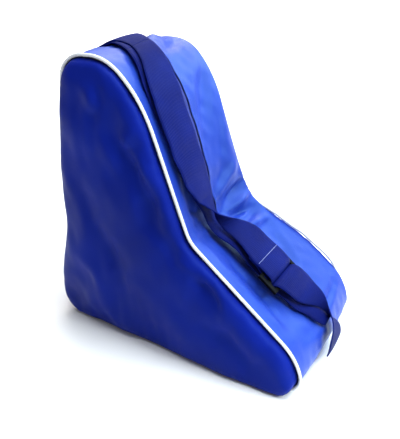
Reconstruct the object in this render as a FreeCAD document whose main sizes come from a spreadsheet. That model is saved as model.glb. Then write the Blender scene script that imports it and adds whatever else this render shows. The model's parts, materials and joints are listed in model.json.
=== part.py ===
import FreeCAD, Part
import math
import os

# Ski boot bag: two boot-shaped side panels joined by a wide band (gusset), a zip down the middle
# of the front, and a webbing shoulder strap flipped over the top so that its loop lies on the front.
# Frame: +X heel to toe, +Y from the left panel to the right one, +Z up, origin under the middle of the base.

V = FreeCAD.Vector
doc = FreeCAD.newDocument("ski_boot_bag")

# ---------------------------------------------------------------- driving dimensions, mm and degrees
sizes = [
    ("bagLength", 375, "heel to toe, along the side seam"),
    ("bagHeight", 380, "base to top, along the side seam"),
    ("bagWidth", 185, "side seam to side seam"),
    ("cloth", 1.6, "coated nylon with its lining"),
    ("panelBulge", 16, "how far a stuffed side panel stands out of its seam"),
    ("panelInset", 9, "how far the panel draws in over that bulge"),
    ("heelRadius", 34, "heel corner"),
    ("soleRadius", 22, "toe corner at the floor"),
    ("toeRadius", 75, "front of the toe"),
    ("ankleRadius", 45, "hollow between shin and instep"),
    ("browRadius", 165, "upper shin, bending slowly back"),
    ("frontTopRadius", 63, "shin into top"),
    ("backTopRadius", 35, "top into back"),
    ("backLean", 7, "degrees the back leans forward"),
    ("shinTilt", 69.4, "degrees of the shin from level"),
    ("browTilt", 43, "degrees of the upper shin from level, where it turns into the top"),
    ("instepTilt", 38.5, "degrees of the instep from level"),
    ("toeRise", 105, "degrees of the toe where it leaves the sole corner"),
    ("topLength", 12, "level part of the top"),
    ("pipeRadius", 2, "piping cord with its cover"),
    ("seamGap", 0.3, "clear space between sewn neighbours"),
    ("bindingWidth", 9, "seam binding inside"),
    ("bindingThick", 1.2, "seam binding inside"),
    ("boardThick", 2.5, "base stiffener"),
    ("boardEdge", 14, "stiffener short of the base's edges"),
    ("mouthMargin", 8, "fixed cloth between side seam and mouth"),
    ("flapGap", 4.5, "soft fold between fixed cloth and flap"),
    ("mouthTaper", 60, "length of the mouth's pointed ends"),
    ("zipSlot", 12, "between the two cloth edges over the zip"),
    ("tapeWidth", 14.5, "one zip tape"),
    ("tapeThick", 0.8, "one zip tape"),
    ("coilWidth", 3, "one side's coil"),
    ("coilHeight", 2, "one side's coil"),
    ("chainGap", 3.6, "between the two coils"),
    ("zipDrop", 62, "closed zip on the back, down from the top corner's end"),
    ("zipTail", 26, "closed zip on the toe, past the mouth"),
    ("stopLength", 4, "zip end stops"),
    ("sliderLength", 14, "zip slider"),
    ("sliderWidth", 11, "zip slider"),
    ("sliderPlate", 1.2, "zip slider's plates"),
    ("sliderPark", 44, "slider below the top corner's end when closed"),
    ("runClear", 0.4, "running clearance of the slider"),
    ("pinRadius", 1, "pull's pin"),
    ("pinClear", 0.06, "pull's knuckle on its pin"),
    ("knuckleRadius", 2, "pull's knuckle"),
    ("knuckleWidth", 4, "pull's knuckle"),
    ("lugWidth", 1.5, "slider's lugs each side of the knuckle"),
    ("pullLength", 22, "pull from pin to tip"),
    ("pullWidth", 7, "pull's tab"),
    ("pullThick", 1.4, "pull's tab"),
    ("strapWidth", 60, "webbing"),
    ("strapThick", 1.8, "webbing"),
    ("strapShift", -18, "strap's middle, to the left of the bag's middle when negative"),
    ("strapLift", 5, "inner leg above the cloth"),
    ("legGap", 3.2, "between the strap's two legs"),
    ("strapStandOff", 40, "strap behind the back at its bend"),
    ("bendGap", 9, "webbing left free at the bend"),
    ("anchorDrop", 60, "top anchor below the strap's bend"),
    ("heelAnchor", 46, "heel anchor above the base"),
    ("patchHeight", 34, "stitched strap ends"),
    ("glideLength", 30, "tri-glide along the strap"),
    ("glideWidth", 74, "tri-glide across the strap"),
    ("glideThick", 3.4, "tri-glide"),
    ("glideBar", 4.5, "tri-glide's bars"),
    ("hemLength", 24, "webbing sewn back round the middle bar"),
    ("turnDrop", 34, "strap's turn hanging at the toe"),
    ("tailLength", 6, "running webbing past the tri-glide"),
]
sheet = doc.addObject("Spreadsheet::Sheet", "Sizes")
for row, (alias, value, note) in enumerate(sizes, start=1):
    sheet.set("A%d" % row, alias)
    sheet.set("B%d" % row, str(value))
    sheet.setAlias("B%d" % row, alias)
    sheet.set("C%d" % row, note)
doc.recompute()


def size(alias):
    return float(sheet.get(alias))


# ---------------------------------------------------------------- the side outline
# A closed run of lines and tangent arcs in the XZ plane, anticlockwise from the base at the heel.
# A station is the number of a stretch plus how far along it, such as 3.5 for half way up stretch 3.
BASE, SOLE, TOE, INSTEP, ANKLE, SHIN, BROW, FRONT_TOP, TOP, BACK_TOP, BACK, HEEL = range(12)


def heading(degrees):
    return V(math.cos(math.radians(degrees)), 0, math.sin(math.radians(degrees)))


def side(degrees):
    # unit vector from an arc's centre to the point where the outline heads this way
    return V(math.sin(math.radians(degrees)), 0, -math.cos(math.radians(degrees)))


def cross(a, b):
    return a.x * b.z - a.z * b.x


def makeOutline():
    half = size("bagLength") / 2
    top = size("bagHeight")
    sole, toe, ankle, brow = size("soleRadius"), size("toeRadius"), size("ankleRadius"), size("browRadius")
    frontTop, backTop, heel = size("frontTopRadius"), size("backTopRadius"), size("heelRadius")
    shinWay, browWay, instepWay = 180 - size("shinTilt"), 180 - size("browTilt"), 180 - size("instepTilt")
    backWay, toeWay = 270 - size("backLean"), size("toeRise")
    heelCentre = V(heel - half, 0, heel)
    backEnd = heelCentre + side(backWay) * heel
    backStartZ = top - backTop + side(backWay).z * backTop
    backStart = backEnd - heading(backWay) * ((backStartZ - backEnd.z) / -heading(backWay).z)
    backTopCentre = backStart - side(backWay) * backTop
    frontTopCentre = V(backTopCentre.x + size("topLength"), 0, top - frontTop)
    browCentre = frontTopCentre + side(browWay) * (frontTop - brow)
    shinEnd = browCentre + side(shinWay) * brow
    soleCentre = V(half - sole, 0, sole)
    toeCentre = soleCentre + side(toeWay) * (sole - toe)
    instepStart = toeCentre + side(instepWay) * toe
    # the instep is as long as it takes for the shin to meet the ankle's hollow
    ankleStep = side(instepWay) * ankle - side(shinWay) * ankle
    shinToInstep = shinEnd - instepStart - ankleStep
    instepLength = cross(shinToInstep, heading(shinWay)) / cross(heading(instepWay), heading(shinWay))
    instepEnd = instepStart + heading(instepWay) * instepLength
    ankleCentre = instepEnd + side(instepWay) * ankle
    shinStart = ankleCentre - side(shinWay) * ankle
    return [
        ("line", V(heelCentre.x, 0, 0), V(soleCentre.x, 0, 0)),
        ("arc", soleCentre, sole, 0, toeWay),
        ("arc", toeCentre, toe, toeWay, instepWay),
        ("line", instepStart, instepEnd),
        ("hollow", ankleCentre, ankle, instepWay, shinWay),
        ("line", shinStart, shinEnd),
        ("arc", browCentre, brow, shinWay, browWay),
        ("arc", frontTopCentre, frontTop, browWay, 180),
        ("line", frontTopCentre + V(0, 0, frontTop), backTopCentre + V(0, 0, backTop)),
        ("arc", backTopCentre, backTop, 180, backWay),
        ("line", backStart, backEnd),
        ("arc", heelCentre, heel, backWay, 360),
    ]


outline = makeOutline()


def stretch(number, inset):
    # one stretch of the outline moved inwards by inset, or outwards when inset is negative
    kind = outline[number][0]
    if kind == "line":
        start, end = outline[number][1:]
        way = (end - start).normalize()
        inwards = V(-way.z, 0, way.x) * inset
        return ("line", start + inwards, end + inwards)
    centre, radius, first, last = outline[number][1:]
    return (kind, centre, radius - inset if kind == "arc" else radius + inset, first, last)


def pointOn(piece, part):
    if piece[0] == "line":
        return piece[1] + (piece[2] - piece[1]) * part
    kind, centre, radius, first, last = piece
    across = side(first + (last - first) * part) * radius
    return centre + across if kind == "arc" else centre - across


def place(station, inset=0.0):
    number = min(int(station), len(outline) - 1)
    return pointOn(stretch(number, inset), station - number)


def wayAt(station):
    ahead = place(station + 0.0005) - place(station - 0.0005)
    return math.degrees(math.atan2(ahead.z, ahead.x))


def stretchLength(number):
    piece = outline[number]
    if piece[0] == "line":
        return (piece[2] - piece[1]).Length
    return piece[2] * abs(math.radians(piece[4] - piece[3]))


def shifted(station, distance):
    # the station that lies distance further along the outline, back towards its start when negative
    number, part = int(station), station - int(station)
    while True:
        part += distance / stretchLength(number)
        if 0 <= part <= 1:
            return number + part
        step = 1 if part > 1 else -1
        distance = (part - 1 if part > 1 else part) * stretchLength(number)
        number += step
        part = 0.0 if step > 0 else 1.0


def flat(point):
    return V(point.x, point.z, 0)


def lineEdge(start, end):
    return Part.LineSegment(flat(start), flat(end))


def arcEdge(kind, centre, radius, first, last):
    if kind == "arc":
        low, high = first - 90, last - 90
    else:
        low, high = last + 90, first + 90
    circle = Part.Circle(flat(centre), V(0, 0, 1), radius)
    return Part.ArcOfCircle(circle, math.radians(low), math.radians(high))


def run(first, last, inset):
    # the outline's edges from one station to another
    edges = []
    for number in range(int(first), int(math.ceil(last))):
        piece = stretch(number, inset)
        low, high = max(first - number, 0.0), min(last - number, 1.0)
        if piece[0] == "line":
            edges.append(lineEdge(pointOn(piece, low), pointOn(piece, high)))
        else:
            kind, centre, radius, start, end = piece
            turn = end - start
            edges.append(arcEdge(kind, centre, radius, start + turn * low, start + turn * high))
    return edges


def ribbon(first, last, outer, inner):
    # the closed section of a band that follows the outline between two insets
    ends = [lineEdge(place(first, outer), place(first, inner)), lineEdge(place(last, outer), place(last, inner))]
    return run(first, last, outer) + run(first, last, inner) + ends


def ring(inset):
    return run(0, len(outline), inset)


# ---------------------------------------------------------------- building helpers
def sideSketch(name, edges, across="0"):
    # a sketch in the XZ plane; across is its place along Y, an expression of the sheet
    sketch = doc.addObject("Sketcher::SketchObject", name)
    sketch.addGeometry(edges, False)
    sketch.Placement = FreeCAD.Placement(V(0, 0, 0), FreeCAD.Rotation(V(1, 0, 0), 90))
    sketch.setExpression("Placement.Base.y", across)
    return sketch


def extruded(name, edges, start, width):
    # edges drawn at Y = start and drawn out towards +Y by width, both expressions of the sheet
    solid = doc.addObject("Part::Extrusion", name)
    solid.Base = sideSketch(name + "_section", edges, start)
    solid.DirMode = "Custom"
    solid.Dir = V(0, 1, 0)
    solid.Solid = True
    solid.setExpression("LengthFwd", width)
    return solid


def combined(kind, name, base, tool):
    result = doc.addObject("Part::" + kind, name)
    result.Base = base
    result.Tool = tool
    return result


def fused(name, pieces):
    result = doc.addObject("Part::MultiFuse", name)
    result.Shapes = pieces
    return result


finished = {}


def finish(name, piece):
    piece.Label = name
    finished[name] = piece
    return piece


def sign(left):
    return "-" if left else ""


def sided(left, near, far):
    # start and width of a solid that runs from near to far off the middle plane, on one side
    start = "-(%s)" % far if left else near
    return start, "(%s) - (%s)" % (far, near)


# ---------------------------------------------------------------- stations along the outline
gussetHalf = "Sizes.bagWidth / 2 - Sizes.pipeRadius - Sizes.seamGap"
baseEnd = SOLE + 0.9
heelEnd = HEEL + 0.1
ankleMiddle = ANKLE + 0.5
mouthLow = INSTEP + 0.03
mouthHigh = FRONT_TOP + 0.5
zipHighEnd = BACK + size("zipDrop") / stretchLength(BACK)
zipLowEnd = shifted(mouthLow, -size("zipTail"))

# ---------------------------------------------------------------- the mouth and its flaps
# The mouth's hinge lines are straight, at a depth between the curved front's hollow and its rounded ends.
mouthTop, mouthToe = place(mouthHigh), place(mouthLow)
mouthWay = (mouthToe - mouthTop).normalize()
mouthOut = V(-mouthWay.z, 0, mouthWay.x)
depths = [(place(mouthLow + (mouthHigh - mouthLow) * k / 60) - mouthTop).dot(mouthOut) for k in range(61)]
# In the hollow of the ankle the two zip edges swing towards each other by the play left between the coils.
zipEdge = (size("bagWidth") - size("chainGap")) / 2
play = size("chainGap") / 2 - size("runClear") + 0.1
zipUnder = size("cloth") + 0.1 + size("tapeThick")
hingeDepth = min(depths) + math.sqrt((zipEdge + play) ** 2 - zipEdge ** 2) - zipUnder
hingePoint = mouthTop + mouthOut * hingeDepth
mouthLength = (mouthToe - mouthTop).Length
prismDepth = 2 * (max(depths) - min(depths)) + 40


def mouthPrism(name, clear):
    # a pointed slot shape over the mouth, held clear inside its edges
    prism = doc.addObject("Part::Extrusion", name)
    sketch = doc.addObject("Sketcher::SketchObject", name + "_section")
    halfWidth = size("bagWidth") / 2 - size("mouthMargin") - clear
    taper = size("mouthTaper")
    pull = clear * math.hypot(taper, halfWidth) / halfWidth
    ends = [(pull, 0), (taper + clear * 0.5, halfWidth), (mouthLength - taper - clear * 0.5, halfWidth),
            (mouthLength - pull, 0), (mouthLength - taper - clear * 0.5, -halfWidth),
            (taper + clear * 0.5, -halfWidth)]
    corners = [V(along, across, 0) for along, across in ends]
    sketch.addGeometry([Part.LineSegment(a, b) for a, b in zip(corners, corners[1:] + corners[:1])], False)
    turned = FreeCAD.Rotation(mouthWay, V(0, 1, 0), mouthOut, "ZXY")
    sketch.Placement = FreeCAD.Placement(mouthTop - mouthOut * prismDepth / 2, turned)
    prism.Base = sketch
    prism.DirMode = "Normal"
    prism.Solid = True
    prism.LengthFwd = prismDepth
    return prism


def slotCutter(name, first, last):
    edges = ribbon(first, last, -size("cloth"), 2 * size("cloth"))
    return extruded(name, edges, "-Sizes.zipSlot / 2", "Sizes.zipSlot")


def makeGussets():
    opening = mouthPrism("mouth_opening", 0.0)
    width = "2 * (%s)" % gussetHalf
    start = "-(%s)" % gussetHalf
    back = extruded("back_band", ribbon(ankleMiddle, heelEnd, 0, size("cloth")), start, width)
    slot = slotCutter("back_zip_slot", mouthHigh - 0.3, zipHighEnd)
    finish("back_gusset", combined("Cut", "back_gusset", combined("Cut", "back_open", back, opening), slot))
    toe = extruded("toe_band", ribbon(baseEnd, ankleMiddle, 0, size("cloth")), start, width)
    slot = slotCutter("toe_zip_slot", zipLowEnd, mouthLow + 0.2)
    finish("toe_gusset", combined("Cut", "toe_gusset", combined("Cut", "toe_open", toe, opening), slot))
    # the base panel runs round both bottom corners to meet the two gussets
    heelRun = run(heelEnd, len(outline), 0) + run(heelEnd, len(outline), size("cloth"))
    soleRun = run(0, baseEnd, 0) + run(0, baseEnd, size("cloth"))
    caps = [lineEdge(place(at), place(at, size("cloth"))) for at in (heelEnd, baseEnd)]
    finish("base_panel", extruded("base_panel", heelRun + soleRun + caps, start, width))


def makeBoard():
    body = doc.addObject("PartDesign::Body", "base_board")
    plane = [feature for feature in body.Origin.OriginFeatures if feature.Role == "XY_Plane"][0]
    sketch = body.newObject("Sketcher::SketchObject", "base_board_outline")
    sketch.AttachmentSupport = (plane, "")
    sketch.MapMode = "FlatFace"
    edge = size("boardEdge")
    heelX, toeX = place(BASE).x + edge / 2, place(SOLE).x - edge / 2
    halfY = size("bagWidth") / 2 - edge
    corners = [V(heelX, -halfY, 0), V(toeX, -halfY, 0), V(toeX, halfY, 0), V(heelX, halfY, 0)]
    sketch.addGeometry([Part.LineSegment(a, b) for a, b in zip(corners, corners[1:] + corners[:1])], False)
    sketch.AttachmentOffset = FreeCAD.Placement(V(0, 0, 0), FreeCAD.Rotation())
    sketch.setExpression("AttachmentOffset.Base.z", "Sizes.cloth + Sizes.seamGap")
    pad = body.newObject("PartDesign::Pad", "base_board_pad")
    pad.Profile = sketch
    pad.setExpression("Length", "Sizes.boardThick")
    finish("base_board", body)


def makeSide(left):
    name = "left" if left else "right"
    seam = 2 * size("pipeRadius") + 2 * size("seamGap")
    draw = size("panelInset")
    wall = size("cloth")

    def dome(label, extra, depth):
        rims = [sideSketch(label + "_seam", ring(seam + extra), sign(left) + "(Sizes.bagWidth / 2)"),
                sideSketch(label + "_crown", ring(seam + draw + extra),
                           sign(left) + "(Sizes.bagWidth / 2 + %s)" % depth)]
        loft = doc.addObject("Part::Loft", label)
        loft.Sections = rims
        loft.Solid = True
        loft.Ruled = True
        return loft

    outer = dome(name + "_dome", 0, "Sizes.panelBulge")
    inner = dome(name + "_hollow", wall, "Sizes.panelBulge - Sizes.cloth")
    finish(name + "_side_panel", combined("Cut", name + "_side_panel", outer, inner))

    # piping: a cord swept round the seam
    path = sideSketch(name + "_pipe_path", ring(size("pipeRadius") + 0.1), sign(left) + "(Sizes.bagWidth / 2)")
    section = doc.addObject("Part::Circle", name + "_pipe_section")
    section.setExpression("Radius", "Sizes.pipeRadius")
    start = place(BASE + 0.0, size("pipeRadius") + 0.1)
    section.Placement = FreeCAD.Placement(start, FreeCAD.Rotation(V(0, 1, 0), 90))
    section.setExpression("Placement.Base.y", sign(left) + "(Sizes.bagWidth / 2)")
    pipe = doc.addObject("Part::Sweep", name + "_piping")
    pipe.Sections = [section]
    doc.recompute()
    pipe.Spine = (path, ["Edge%d" % (k + 1) for k in range(len(outline))])
    pipe.Solid = True
    finish(name + "_piping", pipe)

    # binding: a tape over the raw edges inside the seam
    outerInset = size("cloth") + size("seamGap")
    edges = ring(outerInset) + ring(outerInset + size("bindingThick"))
    begin, width = sided(left, "Sizes.bagWidth / 2 - 2 - Sizes.bindingWidth", "Sizes.bagWidth / 2 - 2")
    finish(name + "_seam_binding", extruded(name + "_seam_binding", edges, begin, width))


def makeFlap(left):
    name = "left" if left else "right"
    prism = mouthPrism(name + "_flap_shape", size("flapGap"))
    full = (mouthLow - 0.1, mouthHigh + 0.1)

    def strip(label, outer, inner, near, far):
        begin, width = sided(left, near, far)
        band = extruded(label + "_band", ribbon(*full, outer, inner), begin, width)
        return finish(label, combined("Common", label, band, prism))

    cloth, gap = size("cloth"), 0.1
    strip(name + "_front_flap", 0, cloth, "Sizes.zipSlot / 2", "Sizes.bagWidth / 2")
    strip("zip_tape_" + name, cloth + gap, cloth + gap + size("tapeThick"),
          "Sizes.chainGap / 2", "Sizes.chainGap / 2 + Sizes.tapeWidth")
    strip("zip_coil_" + name, cloth - size("coilHeight"), cloth,
          "Sizes.chainGap / 2", "Sizes.chainGap / 2 + Sizes.coilWidth")


def makeZipEnds():
    cloth, gap = size("cloth"), 0.1
    clear = size("flapGap")
    spans = {"back": (shifted(mouthHigh, 2 * clear), zipHighEnd), "toe": (zipLowEnd, shifted(mouthLow, -clear))}
    for where, (first, last) in spans.items():
        for left in (True, False):
            name = "left" if left else "right"
            begin, width = sided(left, "Sizes.chainGap / 2", "Sizes.chainGap / 2 + Sizes.tapeWidth")
            tape = "zip_%s_tape_%s" % (where, name)
            edges = ribbon(first, last, cloth + gap, cloth + gap + size("tapeThick"))
            finish(tape, extruded(tape, edges, begin, width))
            begin, width = sided(left, "Sizes.chainGap / 2", "Sizes.chainGap / 2 + Sizes.coilWidth")
            coil = "zip_%s_coil_%s" % (where, name)
            edges = ribbon(first, last, cloth - size("coilHeight"), cloth)
            finish(coil, extruded(coil, edges, begin, width))
    # end stops, crimped across the chain's gap
    reach = size("stopLength")
    ends = {"zip_back_stop": (zipHighEnd - reach / stretchLength(BACK), zipHighEnd),
            "zip_toe_stop": (zipLowEnd, zipLowEnd + reach / stretchLength(TOE))}
    for name, (first, last) in ends.items():
        edges = ribbon(first, last, cloth - size("coilHeight"), cloth)
        finish(name, extruded(name, edges, "-Sizes.chainGap / 2 + 0.2", "Sizes.chainGap - 0.4"))


# ---------------------------------------------------------------- slider and pull, on the straight back
backWay = wayAt(BACK + 0.5)
sliderStation = BACK + size("sliderPark") / stretchLength(BACK)


def onBack(name, long, wide, deep, along, across, out):
    # a box on the back: along its slope (upwards), across, and out from the cloth's face
    piece = doc.addObject("Part::Box", name)
    piece.Length, piece.Width, piece.Height = long, wide, deep
    turned = FreeCAD.Rotation(V(0, 1, 0), -(backWay + 180))
    local = turned.multVec(V(along - long / 2, 0, out))
    piece.Placement = FreeCAD.Placement(place(sliderStation) + local + V(0, across - wide / 2, 0), turned)
    return piece


def makeSlider():
    plate, clear = size("sliderPlate"), size("runClear")
    length, width = size("sliderLength"), size("sliderWidth")
    coilTop = size("coilHeight") - size("cloth")
    under = -(size("cloth") + 0.1 + size("tapeThick"))
    post = size("chainGap") - 2 * clear - 0.2
    top = onBack("slider_top", length, width, plate, 0, 0, coilTop + clear)
    bottom = onBack("slider_bottom", length, width, plate, 0, 0, under - clear - plate)
    deep = coilTop - under + 2 * clear + 2 * plate - 0.2
    middle = onBack("slider_post", length / 3, post, deep, length / 3, 0, under - clear - plate + 0.1)
    lugs = []
    pinOut = coilTop + clear + plate + size("knuckleRadius") + clear
    for number, across in enumerate((-1, 1)):
        offset = across * (size("knuckleWidth") / 2 + 0.3 + size("lugWidth") / 2)
        tall = pinOut + size("pinRadius") + 0.6 - (coilTop + clear + plate - 0.2)
        lugs.append(onBack("slider_lug_%d" % number, 4, size("lugWidth"), tall, 0, offset,
                           coilTop + clear + plate - 0.2))
    pin = doc.addObject("Part::Cylinder", "slider_pin")
    pin.setExpression("Radius", "Sizes.pinRadius")
    pinLong = size("knuckleWidth") + 0.6 + 2 * size("lugWidth")
    pin.Height = pinLong
    turned = FreeCAD.Rotation(V(0, 1, 0), -(backWay + 180))
    pinCentre = place(sliderStation) + turned.multVec(V(0, 0, pinOut))
    pin.Placement = FreeCAD.Placement(pinCentre - V(0, pinLong / 2, 0), FreeCAD.Rotation(V(1, 0, 0), -90))
    finish("zip_slider", fused("zip_slider", [top, bottom, middle, pin] + lugs))

    knuckle = doc.addObject("Part::Cylinder", "pull_knuckle")
    knuckle.setExpression("Radius", "Sizes.knuckleRadius")
    knuckle.setExpression("Height", "Sizes.knuckleWidth")
    start = pinCentre - V(0, size("knuckleWidth") / 2, 0)
    knuckle.Placement = FreeCAD.Placement(start, FreeCAD.Rotation(V(1, 0, 0), -90))
    tabLong = size("pullLength") - size("knuckleRadius") * 0.7
    tab = onBack("pull_plate", tabLong, size("pullWidth"), size("pullThick"),
                 -(size("knuckleRadius") * 0.7 + tabLong / 2) - 3.2, 0, pinOut - size("pullThick") / 2)
    neck = onBack("pull_neck", 5, size("knuckleWidth") - 0.2, size("pullThick"),
                  -(size("knuckleRadius") * 0.7 + 2.5), 0, pinOut - size("pullThick") / 2)
    bore = doc.addObject("Part::Cylinder", "pull_bore")
    bore.setExpression("Radius", "Sizes.pinRadius + Sizes.pinClear")
    bore.setExpression("Height", "Sizes.knuckleWidth + 2")
    bore.Placement = FreeCAD.Placement(start - V(0, 1, 0), FreeCAD.Rotation(V(1, 0, 0), -90))
    finish("zip_pull", combined("Cut", "zip_pull", fused("pull_blank", [knuckle, neck, tab]), bore))
    return pinCentre


# ---------------------------------------------------------------- the strap
# Two legs of one webbing: the inner leg returns to the heel, the outer leg carries the tri-glide.
def strapBands():
    lift, thick, gap = size("strapLift"), size("strapThick"), size("legGap")
    inner = (-(lift + thick), -lift)
    outer = (-(lift + 2 * thick + gap), -(lift + thick + gap))
    return inner, outer


glideStation = INSTEP + 0.4
strapLow = TOE + 0.6
strapStart = "Sizes.strapShift - Sizes.strapWidth / 2"
innerBand, outerBand = strapBands()
hemHigh = shifted(glideStation, size("glideLength") / 2 + size("hemLength"))
archCentreX = place(TOP + 1).x
archFace = place(BACK).x - size("strapStandOff")
archRadius = archCentreX - archFace
bendZ = size("bagHeight") + size("strapLift") - archRadius
bend = V(archFace - size("strapThick") - size("legGap") / 2, 0, bendZ - size("bendGap") / 3)


def strapPiece(name, edges):
    return finish(name, extruded(name, edges, strapStart, "Sizes.strapWidth"))


def overTop(name, band, first):
    # from a station on the front, over the top, and round a loose arch to the bend behind the back
    low, high = (archRadius - inset - size("strapLift") for inset in band[::-1])
    centre = V(archCentreX, 0, bendZ)
    edges = run(first, TOP + 1, band[0]) + run(first, TOP + 1, band[1])
    edges.append(lineEdge(place(first, band[0]), place(first, band[1])))
    edges += [arcEdge("arc", centre, radius, 180, 270) for radius in (low, high)]
    edges.append(lineEdge(centre - V(low, 0, 0), centre - V(high, 0, 0)))
    return strapPiece(name, edges)


def standing(name, faceX, footZ, off):
    # a leg from below the bend down to its stitched end on the back
    slope = (place(BACK) - place(BACK + 1)).normalize()
    tall = size("patchHeight")
    foot = place(BACK + 1) + slope * ((footZ - place(BACK + 1).z) / slope.z) - V(off, 0, 0)
    top = V(faceX, 0, bendZ - size("bendGap"))
    inside = [top, top - V(0, 0, tall / 3), foot, foot - slope * tall]
    outside = [point - V(size("strapThick"), 0, 0) for point in inside]
    corners = inside + outside[::-1]
    return strapPiece(name, [lineEdge(a, b) for a, b in zip(corners, corners[1:] + corners[:1])])


def makeStrap():
    thick, gap = size("strapThick"), size("legGap")
    overTop("strap_return_leg", innerBand, strapLow)
    overTop("strap_sewn_leg", outerBand, hemHigh)
    standing("strap_heel_leg", archFace - thick - gap, size("heelAnchor") + size("patchHeight"), size("seamGap"))
    standing("strap_anchor_leg", archFace, bendZ - size("anchorDrop"), size("seamGap"))
    tail = shifted(glideStation, size("glideLength") / 2 + size("tailLength"))
    strapPiece("strap_running_leg", ribbon(strapLow, tail, *outerBand))
    turnLow = shifted(strapLow, -size("turnDrop"))
    strapPiece("strap_toe_turn", ribbon(turnLow, shifted(strapLow, -size("seamGap")), outerBand[0], innerBand[1]))
    for name, middle in (("top_anchor_patch", bendZ - size("anchorDrop") - size("patchHeight") / 2),
                         ("heel_anchor_patch", size("heelAnchor") + size("patchHeight") / 2)):
        slope = abs(place(BACK + 1).z - place(BACK).z)
        station = BACK + (place(BACK).z - middle) / slope
        half = size("patchHeight") / 2 + 5
        inset = size("cloth") + 0.1
        edges = ribbon(shifted(station, -half), shifted(station, half), inset, inset + size("bindingThick"))
        finish(name, extruded(name, edges, strapStart + " - 5", "Sizes.strapWidth + 10"))


# ---------------------------------------------------------------- tri-glide on the outer leg
def makeGlide():
    # drawn flat in its own frame (x along the strap, y across, z outwards), then laid on the webbing
    outward = (place(glideStation, -1.0) - place(glideStation)).normalize()
    toeWards = (place(INSTEP) - place(INSTEP + 1)).normalize()
    turned = FreeCAD.Rotation(toeWards, V(0, 1, 0), outward, "ZXY")
    origin = place(glideStation, outerBand[0] - size("runClear"))
    origin = origin + V(0, size("strapShift"), 0)
    placement = FreeCAD.Placement(origin, turned)

    body = doc.addObject("PartDesign::Body", "tri_glide")
    plane = [feature for feature in body.Origin.OriginFeatures if feature.Role == "XY_Plane"][0]
    length, width, bar = size("glideLength"), size("glideWidth"), size("glideBar")
    window = (length - 3 * bar) / 2

    def rectangle(sketch, low, high, halfWidth):
        corners = [V(low, -halfWidth, 0), V(high, -halfWidth, 0), V(high, halfWidth, 0), V(low, halfWidth, 0)]
        edges = [Part.LineSegment(a, b) for a, b in zip(corners, corners[1:] + corners[:1])]
        sketch.addGeometry(edges, False)

    frame = body.newObject("Sketcher::SketchObject", "tri_glide_frame")
    frame.AttachmentSupport = (plane, "")
    frame.MapMode = "FlatFace"
    rectangle(frame, -length / 2, length / 2, width / 2)
    pad = body.newObject("PartDesign::Pad", "tri_glide_plate")
    pad.Profile = frame
    pad.setExpression("Length", "Sizes.glideThick")
    windows = body.newObject("Sketcher::SketchObject", "tri_glide_windows")
    windows.AttachmentSupport = (plane, "")
    windows.MapMode = "FlatFace"
    for way in (-1, 1):
        middle = way * (bar + window) / 2
        rectangle(windows, middle - window / 2, middle + window / 2, size("strapWidth") / 2 + 1)
    doc.recompute()
    plateVolume = pad.Shape.Volume
    cut = body.newObject("PartDesign::Pocket", "tri_glide_cut")
    cut.Profile = windows
    cut.Type = "ThroughAll"
    cut.Midplane = True
    doc.recompute()
    if cut.Shape.Volume >= plateVolume:
        raise RuntimeError("the tri-glide's windows cut nothing")
    body.Placement = placement
    finish("tri_glide", body)

    # the webbing's sewn end: flat over the frame's upper bar, then down round the middle bar
    thick, proud = size("strapThick"), size("glideThick") + 0.2
    flatPart = doc.addObject("Part::Box", "hem_flat")
    flatPart.setExpression("Width", "Sizes.strapWidth")
    flatPart.Length = length / 2 + size("hemLength") + bar / 2 + 0.2 + thick
    flatPart.Height = thick
    start = bar / 2 + 0.2 + thick
    flatPart.Placement = placement * FreeCAD.Placement(V(start - flatPart.Length.Value, -size("strapWidth") / 2, proud),
                                                       FreeCAD.Rotation())
    lip = doc.addObject("Part::Box", "hem_lip")
    lip.setExpression("Width", "Sizes.strapWidth")
    lip.setExpression("Length", "Sizes.strapThick")
    lip.Height = proud
    lip.Placement = placement * FreeCAD.Placement(V(start - thick, -size("strapWidth") / 2, 0.2), FreeCAD.Rotation())
    finish("strap_hem", fused("strap_hem", [flatPart, lip]))


makeGussets()
makeBoard()
for isLeft in (True, False):
    makeSide(isLeft)
    makeFlap(isLeft)
makeZipEnds()
pinCentre = makeSlider()
makeStrap()
makeGlide()

# ---------------------------------------------------------------- check, then write
doc.recompute()
for item in doc.Objects:
    if "Invalid" in item.State or "Error" in item.State:
        raise RuntimeError("%s did not build: %s" % (item.Name, item.State))
for name, piece in finished.items():
    if piece.Shape.isNull() or not piece.Shape.isValid() or not piece.Shape.Solids:
        raise RuntimeError("%s has no valid solid" % name)
os.makedirs("parts", exist_ok=True)
for name, piece in finished.items():
    piece.Shape.exportStep("parts/%s.step" % name)
    print(name, "solids", len(piece.Shape.Solids), "volume %.0f" % piece.Shape.Volume)
print("mouth hinge", hingePoint, "along", mouthWay, "outwards", mouthOut)
print("pull pin", pinCentre, "strap bend", bend, "back heading", backWay)
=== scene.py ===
import bpy
import json
import math
import numpy as np
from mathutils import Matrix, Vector
from mathutils.geometry import delaunay_2d_cdt


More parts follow.
